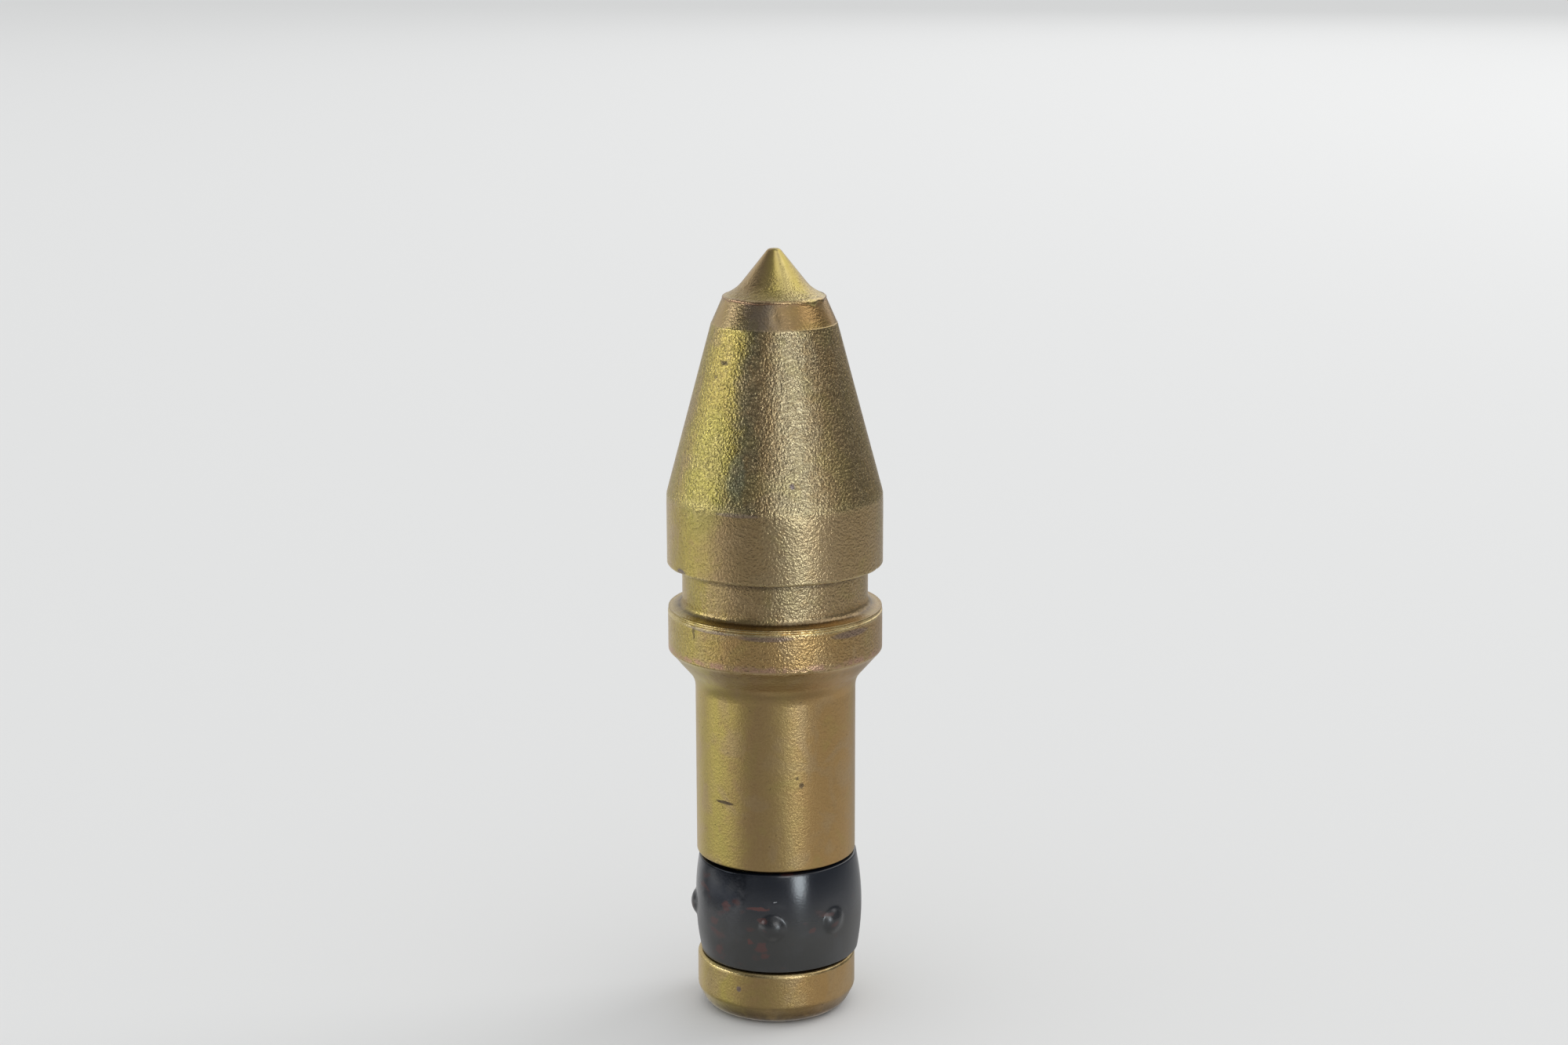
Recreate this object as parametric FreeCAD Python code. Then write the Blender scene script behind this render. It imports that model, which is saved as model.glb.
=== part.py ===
import FreeCAD, Part
import math
import os

# Round-shank trencher tooth, in millimetres. The origin is the centre of the rear end face,
# and +Z runs along the tool's axis to its hard point. Every turned piece is half an outline,
# as radius and height, swept once round that axis.

# Shank and rear flange, which pass through the same bore of the holder
SHANK_RADIUS = 12.5
SHANK_LENGTH = 28.2
SHANK_END_ROUND = 0.35
FLANGE_LENGTH = 8.8
FLANGE_EDGE_ROUND = 0.7
REAR_CHAMFER_WIDTH = 1.5
REAR_CHAMFER_LENGTH = 3.1
REAR_FACE_ROUND = 2.6
REAR_CHAMFER_ROUND = 1.2

# Groove between flange and shank, where the spring sleeve sits
SLEEVE_GROOVE_LENGTH = 16.7
SLEEVE_GROOVE_FILLET = 0.8

# Seat cone and collar, which carry the cutting load into the holder
SEAT_CONE_LENGTH = 4.7
SEAT_CONE_WIDTH = 4.15
SEAT_CONE_FILLET = 4.0
COLLAR_LENGTH = 6.8
COLLAR_SEAT_ROUND = 0.5
COLLAR_EDGE_ROUND = 0.3
COLLAR_TOP_RISE = 0.3

# Groove above the collar, where a puller fork lifts the tool
PULLER_GROOVE_LENGTH = 6.7
PULLER_GROOVE_DEPTH = 2.25
PULLER_LOWER_FILLET = 1.0
PULLER_UPPER_FILLET = 0.5

# Head: a straight band, a long cone and a blunter nose
HEAD_OVERHANG = 0.05
HEAD_EDGE_ROUND = 0.25
HEAD_BAND_LENGTH = 11.0
HEAD_SHOULDER_ROUND = 2.5
HEAD_CONE_LENGTH = 26.3
NOSE_FLARE = 1.8
NOSE_LENGTH = 3.9
NOSE_EDGE_ROUND = 1.0
NOSE_LEDGE = 0.15

# Hard tip: a flared cap with a boss below it
TIP_RIM_RADIUS = 7.7
TIP_RIM_THICKNESS = 0.15
TIP_CAP_HEIGHT = 7.35
TIP_POINT_RADIUS = 1.8
TIP_SKIRT_WIDTH = 2.0
TIP_SKIRT_RISE = 1.0
TIP_FLARE_ROUND = 8.0
BOSS_RADIUS = 5.0
BOSS_DEPTH = 6.0
BOSS_CHAMFER = 1.5
BOSS_ROOT_FILLET = 0.6

# Braze: a thin layer all over the socket, and a bead round the rim
BRAZE_GAP = 0.12
BRAZE_BEAD_BULGE = 0.15

# Spring sleeve: barrel-shaped, split along its back, with dimples pressed outwards
SLEEVE_THICKNESS = 1.3
SLEEVE_RIM_INSET = 0.1
SLEEVE_BARREL_RISE = 0.75
SLEEVE_RIM_CROWN = 0.2
SLEEVE_SLOT_WIDTH = 4.0
SLEEVE_SLOT_ANGLE = 90.0
DIMPLE_RISE = 0.8
DIMPLE_BASE_RADIUS = 2.1
# All dimples lie at one level, a little below the sleeve's middle. Their angles go from +X towards +Y
DIMPLE_LEVEL = -0.4
DIMPLE_ANGLES = (180.0, 265.5, 311.0, 41.0, 139.0)

# How the loose sleeve lies in its groove: on the flange, to one side and a little askew
SLEEVE_FLANGE_GAP = 0.03
SLEEVE_SHANK_GAP = 0.2
SLEEVE_FLOOR_GAP = 0.9
SLEEVE_NEAREST_GAP = 0.36
SLEEVE_LEAN = 1.0

# Lengths and angles smaller than this are taken as none
TINY = 1e-6

# Heights along the axis, each from the one below it
flange_top = FLANGE_LENGTH
shank_start = flange_top + SLEEVE_GROOVE_LENGTH
cone_seat_start = shank_start + SHANK_LENGTH
collar_start = cone_seat_start + SEAT_CONE_LENGTH
collar_top = collar_start + COLLAR_LENGTH
head_start = collar_top + PULLER_GROOVE_LENGTH
head_cone_start = head_start + HEAD_BAND_LENGTH
nose_start = head_cone_start + HEAD_CONE_LENGTH
nose_top = nose_start + NOSE_LENGTH

# The tip lies on its braze, one gap above the nose and one gap clear of the socket
cap_base = nose_top + BRAZE_GAP
rim_top = cap_base + TIP_RIM_THICKNESS
tip_top = nose_top + TIP_CAP_HEIGHT
boss_end = cap_base - BOSS_DEPTH
socket_radius = BOSS_RADIUS + BRAZE_GAP
socket_end = boss_end - BRAZE_GAP

# Radii of the body, each from the piece that it carries or fits
sleeve_rim_radius = SHANK_RADIUS - SLEEVE_RIM_INSET
sleeve_groove_radius = sleeve_rim_radius - SLEEVE_THICKNESS - SLEEVE_FLOOR_GAP
collar_radius = SHANK_RADIUS + SEAT_CONE_WIDTH
puller_neck_radius = collar_radius - PULLER_GROOVE_DEPTH
head_radius = collar_radius + HEAD_OVERHANG
nose_top_radius = TIP_RIM_RADIUS + NOSE_LEDGE
nose_radius = nose_top_radius + NOSE_FLARE


def half_plane(place):
    """A place of an outline, given as radius and height."""
    return FreeCAD.Vector(place[0], 0, place[1])


def free_length(corner, neighbour):
    """How far a rounding may reach: to a sharp neighbour, or halfway to a rounded one."""
    length = math.hypot(neighbour[0] - corner[0], neighbour[1] - corner[1])
    return length / 2 if len(neighbour) > 2 else length


def corner_arc(before, corner, after):
    """The start, middle and end of the arc that rounds a corner, kept within its two runs."""
    place = half_plane(corner)
    to_before = half_plane(before) - place
    to_after = half_plane(after) - place
    half_turn = (math.pi - to_before.getAngle(to_after)) / 2
    if half_turn < TINY:
        return None
    wanted = corner[2] * math.tan(half_turn)
    reach = min(wanted, free_length(corner, before), free_length(corner, after))
    radius = reach / math.tan(half_turn)
    to_before.normalize()
    to_after.normalize()
    inward = to_before + to_after
    inward.normalize()
    centre = place + inward * (radius / math.cos(half_turn))
    return place + to_before * reach, centre - inward * radius, place + to_after * reach


def outline(corners):
    """Edges of a closed half outline. A corner is radius, height and, where round, its rounding."""
    edges = []
    here = half_plane(corners[0])
    for before, corner, after in zip(corners, corners[1:], corners[2:] + corners[:1]):
        arc = corner_arc(before, corner, after) if len(corner) > 2 else None
        reached = arc[0] if arc else half_plane(corner)
        if here.distanceToPoint(reached) > TINY:
            edges.append(Part.LineSegment(here, reached).toShape())
        here = reached
        if arc:
            edges.append(Part.Arc(*arc).toShape())
            here = arc[2]
    edges.append(Part.LineSegment(here, half_plane(corners[0])).toShape())
    return edges


def turned(edges):
    """A closed half outline swept once round the axis."""
    face = Part.Face(Part.Wire(Part.__sortEdges__(edges)))
    return face.revolve(FreeCAD.Vector(0, 0, 0), FreeCAD.Vector(0, 0, 1), 360)


def arc_through(*places):
    """An arc through three places of an outline."""
    return Part.Arc(*[half_plane(place) for place in places]).toShape()


def line_between(start, end):
    """A straight edge between two places of an outline."""
    return Part.LineSegment(half_plane(start), half_plane(end)).toShape()


def tool_body():
    """The forged and turned steel body, with the socket for the tip in its nose."""
    return turned(outline([
        (0, 0),
        (SHANK_RADIUS - REAR_CHAMFER_WIDTH, 0, REAR_FACE_ROUND),
        (SHANK_RADIUS, REAR_CHAMFER_LENGTH, REAR_CHAMFER_ROUND),
        (SHANK_RADIUS, flange_top, FLANGE_EDGE_ROUND),
        (sleeve_groove_radius, flange_top, SLEEVE_GROOVE_FILLET),
        (sleeve_groove_radius, shank_start, SLEEVE_GROOVE_FILLET),
        (SHANK_RADIUS, shank_start, SHANK_END_ROUND),
        (SHANK_RADIUS, cone_seat_start, SEAT_CONE_FILLET),
        (collar_radius, collar_start, COLLAR_SEAT_ROUND),
        (collar_radius, collar_top, COLLAR_EDGE_ROUND),
        (puller_neck_radius, collar_top + COLLAR_TOP_RISE, PULLER_LOWER_FILLET),
        (puller_neck_radius, head_start, PULLER_UPPER_FILLET),
        (head_radius, head_start, HEAD_EDGE_ROUND),
        (head_radius, head_cone_start, HEAD_SHOULDER_ROUND),
        (nose_radius, nose_start, NOSE_EDGE_ROUND),
        (nose_top_radius, nose_top),
        (socket_radius, nose_top, BOSS_ROOT_FILLET),
        (socket_radius, socket_end + BOSS_CHAMFER),
        (socket_radius - BOSS_CHAMFER, socket_end),
        (0, socket_end),
    ]))


def carbide_tip():
    """The hard tip: a rounded point, a cone that flares into a thin rim, and the boss below."""
    flare_radius = TIP_RIM_RADIUS - TIP_SKIRT_WIDTH
    flare_height = rim_top + TIP_SKIRT_RISE
    # The cone's line leaves the flare's corner and touches the ball of the point
    below_ball = tip_top - TIP_POINT_RADIUS - flare_height
    to_ball = math.hypot(flare_radius, below_ball)
    half_angle = math.acos(TIP_POINT_RADIUS / to_ball) - math.atan2(below_ball, flare_radius)
    # Corner between the level top and the cone that this ball fills
    point_corner = TIP_POINT_RADIUS * math.tan((math.pi / 2 - half_angle) / 2)
    return turned(outline([
        (0, tip_top),
        (point_corner, tip_top, TIP_POINT_RADIUS),
        (flare_radius, flare_height, TIP_FLARE_ROUND),
        (TIP_RIM_RADIUS, rim_top),
        (TIP_RIM_RADIUS, cap_base),
        (BOSS_RADIUS, cap_base, BOSS_ROOT_FILLET),
        (BOSS_RADIUS, boss_end + BOSS_CHAMFER),
        (BOSS_RADIUS - BOSS_CHAMFER, boss_end),
        (0, boss_end),
    ]))


def braze_layer(body, tip):
    """The braze: what is left of the socket and its seat round the tip, with the bead outside."""
    filled = outline([
        (0, socket_end),
        (socket_radius, socket_end),
        (socket_radius, nose_top - BOSS_ROOT_FILLET),
        (nose_top_radius, nose_top - BOSS_ROOT_FILLET),
        (nose_top_radius, nose_top),
    ])[:-1]
    bead_top = (TIP_RIM_RADIUS, rim_top)
    bead_foot = (nose_top_radius, nose_top)
    chord_r = bead_top[0] - bead_foot[0]
    chord_z = bead_top[1] - bead_foot[1]
    chord = math.hypot(chord_r, chord_z)
    middle_r = (bead_top[0] + bead_foot[0]) / 2 + BRAZE_BEAD_BULGE * chord_z / chord
    middle_z = (bead_top[1] + bead_foot[1]) / 2 - BRAZE_BEAD_BULGE * chord_r / chord
    filled.append(arc_through(bead_foot, (middle_r, middle_z), bead_top))
    filled.append(line_between(bead_top, (0, rim_top)))
    filled.append(line_between((0, rim_top), (0, socket_end)))
    return turned(filled).cut(body).cut(tip)


def sleeve_outline(rim_radius, middle_radius, half_height):
    """The bowed line of one side of the sleeve, from its lower rim to its upper rim."""
    return arc_through((rim_radius, -half_height), (middle_radius, 0), (rim_radius, half_height))


def barrel_radius(rim_radius, rise, half_height, height):
    """Radius of a bowed side at a height above the sleeve's middle."""
    bow = (half_height ** 2 + rise ** 2) / (2 * rise)
    return rim_radius + rise - bow + math.sqrt(bow ** 2 - height ** 2)


def ball_beside_axis(radius, reach, angle, height):
    """A ball at a reach from the axis, at an angle round it and at a height. Its seam faces the axis."""
    ball = Part.makeSphere(radius, FreeCAD.Vector(-reach, 0, height))
    ball.rotate(FreeCAD.Vector(0, 0, 0), FreeCAD.Vector(0, 0, 1), angle + 180)
    return ball


def retainer_ring():
    """The split spring sleeve, worked out about its own middle and then laid in its groove."""
    lean = math.radians(SLEEVE_LEAN)
    lean_rise = sleeve_rim_radius * math.sin(lean)
    clear_length = SLEEVE_GROOVE_LENGTH - SLEEVE_FLANGE_GAP - SLEEVE_SHANK_GAP - 2 * lean_rise
    half_height = clear_length / math.cos(lean) / 2
    rim_height = half_height - SLEEVE_RIM_CROWN
    middle_radius = sleeve_rim_radius + SLEEVE_BARREL_RISE
    inner_rim = sleeve_rim_radius - SLEEVE_THICKNESS
    inner_middle = middle_radius - SLEEVE_THICKNESS
    rim_middle = sleeve_rim_radius - SLEEVE_THICKNESS / 2

    wall = turned([
        sleeve_outline(sleeve_rim_radius, middle_radius, rim_height),
        arc_through((sleeve_rim_radius, rim_height), (rim_middle, half_height), (inner_rim, rim_height)),
        sleeve_outline(inner_rim, inner_middle, rim_height),
        arc_through((sleeve_rim_radius, -rim_height), (rim_middle, -half_height), (inner_rim, -rim_height)),
    ])
    # All that lies inside the middle of the wall, where a dimple's outer ball ends
    core = turned([
        sleeve_outline(rim_middle, rim_middle + SLEEVE_BARREL_RISE, rim_height),
        line_between((rim_middle, rim_height), (0, rim_height)),
        line_between((0, rim_height), (0, -rim_height)),
        line_between((0, -rim_height), (rim_middle, -rim_height)),
    ])

    # A dimple is the cap of a ball outside, and a hollow of the same ball a wall's thickness inside
    ball_radius = (DIMPLE_BASE_RADIUS ** 2 + DIMPLE_RISE ** 2) / (2 * DIMPLE_RISE)
    outside = barrel_radius(sleeve_rim_radius, SLEEVE_BARREL_RISE, rim_height, DIMPLE_LEVEL)
    reach = outside + DIMPLE_RISE - ball_radius
    for angle in DIMPLE_ANGLES:
        outer_ball = ball_beside_axis(ball_radius, reach, angle, DIMPLE_LEVEL)
        inner_ball = ball_beside_axis(ball_radius, reach - SLEEVE_THICKNESS, angle, DIMPLE_LEVEL)
        wall = wall.fuse(outer_ball.cut(core)).cut(inner_ball)

    # The slot is cut right through the wall on one side
    slot_reach = 2 * middle_radius
    slot = Part.makeBox(slot_reach, SLEEVE_SLOT_WIDTH, 4 * half_height,
                        FreeCAD.Vector(0, -SLEEVE_SLOT_WIDTH / 2, -2 * half_height))
    slot.rotate(FreeCAD.Vector(0, 0, 0), FreeCAD.Vector(0, 0, 1), SLEEVE_SLOT_ANGLE)
    sleeve = wall.cut(slot)

    # It hangs over to one side until it is its nearest gap from the groove's floor
    side_play = SLEEVE_FLOOR_GAP - half_height * math.sin(lean) - SLEEVE_NEAREST_GAP
    middle_height = flange_top + SLEEVE_FLANGE_GAP + lean_rise + half_height * math.cos(lean)
    sleeve.rotate(FreeCAD.Vector(0, 0, 0), FreeCAD.Vector(0, 1, 0), -SLEEVE_LEAN)
    sleeve.translate(FreeCAD.Vector(side_play, 0, middle_height))
    return sleeve


def main():
    os.makedirs("parts", exist_ok=True)
    body = tool_body()
    tip = carbide_tip()
    pieces = {
        "tool_body": body,
        "carbide_tip": tip,
        "braze_layer": braze_layer(body, tip),
        "retainer_ring": retainer_ring(),
    }
    for name, shape in pieces.items():
        solids = shape.Solids
        print(name, "solids", len(solids), "valid", shape.isValid(), "volume", round(shape.Volume, 3))
        solid = solids[0] if len(solids) == 1 else shape
        solid.exportStep(f"parts/{name}.step")


main()
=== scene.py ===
# %% [markdown]
# # A trencher tooth in Blender
# This lesson dresses a steel cutting tooth that was built in CAD. The tooth is four separate pieces:
# a turned and forged body, a hard tip, the braze between them and a loose spring sleeve.
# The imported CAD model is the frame: it says how large everything is, and it is never moved.

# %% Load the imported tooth
import math

import bpy
import numpy as np
from mathutils import Matrix, Vector


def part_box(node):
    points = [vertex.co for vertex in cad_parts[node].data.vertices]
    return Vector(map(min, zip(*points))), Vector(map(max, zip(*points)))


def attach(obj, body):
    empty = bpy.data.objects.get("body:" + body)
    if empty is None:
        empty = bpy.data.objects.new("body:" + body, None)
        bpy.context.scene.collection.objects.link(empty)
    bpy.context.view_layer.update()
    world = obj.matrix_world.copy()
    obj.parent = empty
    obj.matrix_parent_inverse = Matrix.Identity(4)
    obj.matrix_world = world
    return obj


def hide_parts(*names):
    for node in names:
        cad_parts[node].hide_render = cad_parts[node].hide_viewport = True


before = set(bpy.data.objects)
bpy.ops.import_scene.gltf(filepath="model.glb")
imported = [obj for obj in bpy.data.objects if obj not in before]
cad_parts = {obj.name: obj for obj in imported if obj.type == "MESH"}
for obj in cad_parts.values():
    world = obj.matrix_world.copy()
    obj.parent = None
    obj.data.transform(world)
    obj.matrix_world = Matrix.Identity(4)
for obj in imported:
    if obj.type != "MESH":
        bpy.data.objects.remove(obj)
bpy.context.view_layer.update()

print("pieces in the frame:", sorted(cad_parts))

# %% [markdown]
# ## The sizes
# The CAD model was built from a few sizes in millimetres. The same ones are repeated here in metres, because
# the pieces of this lesson replace plain solids with finer surfaces and have to lie exactly where those lay.
# Where the frame can give a size, such as the height of the nose, it is read from there.

# %% Sizes along and across the tooth
MM = 0.001

SHANK_RADIUS = 12.5 * MM
FACE_RADIUS = 11.0 * MM
CHAMFER_TOP = 3.1 * MM
FLANGE_TOP = 8.8 * MM
GROOVE_RADIUS = 10.2 * MM
SHANK_START = 25.5 * MM
SHANK_END = 53.7 * MM
COLLAR_START = 58.4 * MM
COLLAR_RADIUS = 16.65 * MM
COLLAR_TOP = 65.2 * MM
NECK_RADIUS = 14.4 * MM
HEAD_START = 71.9 * MM
HEAD_RADIUS = 16.7 * MM
SHOULDER = 82.9 * MM
NOSE_RADIUS = 9.65 * MM
NOSE_START = 109.2 * MM
NOSE_TOP_RADIUS = 7.85 * MM
SOCKET_RADIUS = 5.12 * MM
SOCKET_END = 107.1 * MM

NOSE_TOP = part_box("tool_body")[1].z
TIP_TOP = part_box("carbide_tip")[1].z
print("nose at", round(NOSE_TOP / MM, 2), "mm, point at", round(TIP_TOP / MM, 2), "mm")

# %% [markdown]
# ## An outline with rounded corners
# A turned part is half an outline, spun round its axis. A real lathe tool never leaves a perfectly sharp corner,
# and it is the small rounding that catches the light, so every corner here carries its own radius.
# The outline could be drawn as a curve with handles, but working it out keeps each size readable.
# Close to each corner an extra place holds the long straight run flat, so that smooth shading can't bleed into it.

# %% Outline maths
ARC_STEP = math.radians(11)


def corner_arc(before, corner, after):
    """The arc that touches both runs at a corner: it starts radius * tan(half the turn) before the corner,
    and its centre lies on the line that halves the corner. It never uses more than half of either run."""
    place = np.array(corner[:2])
    to_before = np.array(before[:2]) - place
    to_after = np.array(after[:2]) - place
    free = min(np.linalg.norm(to_before), np.linalg.norm(to_after)) / 2
    to_before = to_before / np.linalg.norm(to_before)
    to_after = to_after / np.linalg.norm(to_after)
    half_turn = (math.pi - math.acos(float(np.clip(to_before @ to_after, -1, 1)))) / 2
    reach = min(corner[2] * math.tan(half_turn), free)
    radius = reach / math.tan(half_turn)
    inward = (to_before + to_after) / np.linalg.norm(to_before + to_after)
    centre = place + inward * radius / math.cos(half_turn)
    steps = max(3, math.ceil(2 * half_turn / ARC_STEP))
    share = np.linspace(-1, 1, steps + 1)[:, None] * half_turn
    side = (to_after - to_before) / np.linalg.norm(to_after - to_before)
    return centre + radius * (side * np.sin(share) - inward * np.cos(share))


def straight_run(start, end, step, hold):
    """Places between two ends of a run: one close to each end, and even ones at most a step apart between them."""
    length = float(np.linalg.norm(end - start))
    if length < 3 * hold:
        return np.empty((0, 2))
    count = max(1, math.ceil((length - 2 * hold) / step))
    along = np.linspace(hold, length - hold, count + 1)[:, None]
    return start + (end - start) * along / length


def outline(corners, step, hold=0.12 * MM):
    """Radius and height of places along an open half outline. A corner is radius, height and its rounding, if any."""
    stretches = [np.array([corners[0][:2]])]
    for before, corner, after in zip(corners, corners[1:], corners[2:] + corners[-1:]):
        rounded = len(corner) > 2
        arc = corner_arc(before, corner, after) if rounded else np.array([corner[:2]])
        stretches.append(straight_run(stretches[-1][-1], arc[0], step, hold))
        stretches.append(arc)
    return np.vstack(stretches)


trial = outline([(0, 0), (10 * MM, 0, 2 * MM), (10 * MM, 20 * MM)], 1 * MM)
print("a trial outline has", len(trial), "places and ends at", trial[-1] / MM)

# %% [markdown]
# ## Turning an outline
# Blender has a Screw modifier for this, but a surface worked out with numpy lets the skin be uneven as well:
# each place of the outline is carried once round the axis, and pushed along its own outward direction by a
# skin depth that may differ at every place. The seam joins up by itself, and the ends on the axis close in a fan.

# %% Turned surfaces
def outward(profile):
    """Unit directions that leave an outline at right angles: the direction along it, turned by a right angle."""
    along = np.gradient(profile, axis=0)
    along /= np.maximum(np.linalg.norm(along, axis=1, keepdims=True), 1e-12)
    return np.stack([along[:, 1], -along[:, 0]], axis=1)


def piece_from(name, points, faces):
    """A smooth mesh piece from an array of places and a list of faces."""
    mesh = bpy.data.meshes.new(name)
    mesh.from_pydata(points, [], faces)
    mesh.polygons.foreach_set("use_smooth", np.ones(len(mesh.polygons), bool))
    mesh.update()
    piece = bpy.data.objects.new(name, mesh)
    bpy.context.scene.collection.objects.link(piece)
    triangles = sum(len(face) - 2 for face in faces)
    print(name, "has", len(points), "places and", triangles, "triangles")
    return piece


def ring_faces(rows, columns, first=0):
    """Four-sided faces of a grid that is closed round its columns, facing outwards when rows run upwards."""
    row = np.arange(rows - 1)[:, None] * columns + first
    here = np.arange(columns)[None, :]
    there = (here + 1) % columns
    return np.stack([row + here, row + there, row + columns + there, row + columns + here], -1).reshape(-1, 4)


def turn(name, profile, columns, skin):
    """A place is ((r + nr d) cos a, (r + nr d) sin a, h + nh d): (r, h) runs along the outline, (nr, nh) leaves it
    at right angles, a goes once round, and d = skin(a, r, h) is how far the skin stands out there."""
    middle = profile[1:-1]
    leaving = outward(profile)[1:-1]
    angle = np.linspace(0, 2 * math.pi, columns, endpoint=False)[None, :]
    radius, height = middle[:, :1], middle[:, 1:]
    depth = skin(angle, radius, height)
    around = radius + leaving[:, :1] * depth
    level = height + leaving[:, 1:] * depth
    grid = np.stack([around * np.cos(angle), around * np.sin(angle), level + 0 * angle], -1).reshape(-1, 3)
    ends = np.array([[0, 0, profile[0, 1]], [0, 0, profile[-1, 1]]])
    low, high = len(grid), len(grid) + 1
    here = np.arange(columns)
    there = (here + 1) % columns
    top = (len(middle) - 1) * columns
    faces = ring_faces(len(middle), columns).tolist()
    faces += np.stack([there, here, np.full(columns, low)], -1).tolist()
    faces += np.stack([top + here, top + there, np.full(columns, high)], -1).tolist()
    return piece_from(name, np.vstack([grid, ends]), faces)


# %% [markdown]
# ## The skin of the forged body
# The head is forged and shot blasted, so its skin is slightly wavy and hammered all over, and the tooth has been
# tipped into boxes with others, so it carries small dents. All of that is real shape here, because a bump in the
# material never shows on an outline. The skin is a sum of a few cosines with different directions and lengths,
# from one seeded set. A dent is a bell-shaped hollow at a stated place. All of it only goes inwards, so the body
# stays within its CAD size.

# %% Waves
rng = np.random.default_rng(58)


def wave_set(count, shortest, longest):
    """Directions in space, scaled so that one turn of the cosine is between two lengths, and starts."""
    way = rng.normal(size=(count, 3))
    way /= np.linalg.norm(way, axis=1, keepdims=True)
    return way * 2 * math.pi / rng.uniform(shortest, longest, (count, 1)), rng.uniform(0, 2 * math.pi, count)


SWELL = wave_set(12, 9 * MM, 26 * MM)
HAMMER = wave_set(40, 1.5 * MM, 3.2 * MM)


def waves(kind, angle, radius, height):
    """The sum of cosines cos(k . p + start) over a set, at places p on a turned surface, scaled to about -1 to 1."""
    total = 0
    for way, start in zip(*kind):
        total = total + np.cos(way[0] * radius * np.cos(angle) + way[1] * radius * np.sin(angle)
                               + way[2] * height + start)
    return total / math.sqrt(len(kind[1])) / 1.5


print("swell of", len(SWELL[1]), "and hammered skin of", len(HAMMER[1]), "cosines")


# %% Dents
def span(value, low, high, soft):
    """1 between two limits and 0 outside them, with edges as soft as stated."""
    rise = np.clip((value - low) / soft + 0.5, 0, 1)
    fall = np.clip((high - value) / soft + 0.5, 0, 1)
    return rise * rise * (3 - 2 * rise) * fall * fall * (3 - 2 * fall)


def facing(degrees):
    """The angle round the axis of a place that is so many degrees to the right of the side facing the camera."""
    return math.radians(degrees - 90)


def turned_from(angle, degrees):
    """How far round, in radians from -pi to pi, an angle lies from a side given in degrees."""
    return (angle - facing(degrees) + math.pi) % (2 * math.pi) - math.pi


def dent(angle, radius, height, place, size, depth, lean):
    """A bell-shaped hollow: minus depth times exp(-(s/length)^2 - (t/width)^2), where s and t are measured on the
    skin from the dent's middle, along and across the line it leans on."""
    across = turned_from(angle, place[0]) * radius
    up = height - place[1] * MM
    tilt = math.radians(lean)
    s = up * math.cos(tilt) + across * math.sin(tilt)
    t = across * math.cos(tilt) - up * math.sin(tilt)
    return -depth * MM * np.exp(-((s / size[0] / MM) ** 2) - (t / size[1] / MM) ** 2)


# Degrees to the right of the camera side and height; length and width; depth; lean to the right. Sizes are in mm.
DENTS = [
    ((-42, 104.0), (1.3, 0.7), 0.10, 35), ((-50, 101.9), (0.8, 0.6), 0.08, 0), ((-33, 98.5), (0.9, 0.6), 0.08, -60),
    ((17, 97.9), (1.1, 0.45), 0.11, -40), ((2, 110.8), (0.8, 0.5), 0.12, -35), ((6, 83.3), (0.8, 0.9), 0.12, 70),
    ((13, 83.0), (0.7, 0.8), 0.10, 20), ((-28, 82.8), (0.8, 2.2), 0.07, 0), ((-59, 72.3), (0.7, 1.2), 0.12, 10),
    ((-48, 64.0), (1.4, 0.45), 0.14, 0), ((8, 64.9), (0.5, 0.9), 0.08, 0), ((-39, 36.0), (0.5, 1.9), 0.05, 78),
    ((104, 92.0), (1.4, 0.8), 0.12, 50), ((163, 99.5), (0.9, 0.7), 0.09, -20), ((-141, 87.0), (1.1, 0.6), 0.10, 65),
    ((138, 65.0), (0.6, 1.1), 0.10, 0), ((-118, 72.2), (0.6, 1.3), 0.10, 5), ((70, 72.1), (0.5, 1.6), 0.09, 85),
]
SIZE_MARGIN = 0.02 * MM


def forged_skin(angle, radius, height):
    """Swell and hammered skin on the head, fainter on the turned lengths, an uneven lower edge of the collar,
    and the dents, all counted inwards."""
    outside = radius > 7 * MM
    head = span(height, SHOULDER - 1 * MM, NOSE_START, 1.5 * MM) * outside
    middle = span(height, COLLAR_START - 0.3 * MM, SHOULDER, 1.5 * MM) * outside
    swell = (0.020 * head + 0.004) * (waves(SWELL, angle, radius, height) - 1)
    hammer = (0.0035 * head + 0.0012 * middle + 0.0008) * (waves(HAMMER, angle, radius, height) - 1)
    seat_edge = span(height, COLLAR_START - 1.6 * MM, COLLAR_START - 0.2 * MM, 0.8 * MM)
    ragged = seat_edge * 0.05 * (waves(SWELL, 3 * angle, radius, height) - 1)
    depth = (swell + hammer + ragged) * MM - SIZE_MARGIN
    for place, size, deep, lean in DENTS:
        depth = depth + outside * dent(angle, radius, height, place, size, deep, lean)
    return depth


print("the body gets", len(DENTS), "dents")

# %% [markdown]
# ## The body
# Forged blank, turned shank: from below it is a chamfered flange, a groove for the sleeve, the shank, a cone that
# seats in the holder, the collar, a groove for a puller, and the pointed head with a blind socket in its nose.
# It could be joined from many simple solids, but the real one is one piece, and so is this surface. The collar's
# top edge has a worn double lip, and the head's lower edge and the nose each have a fine step, which catch light.

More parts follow.
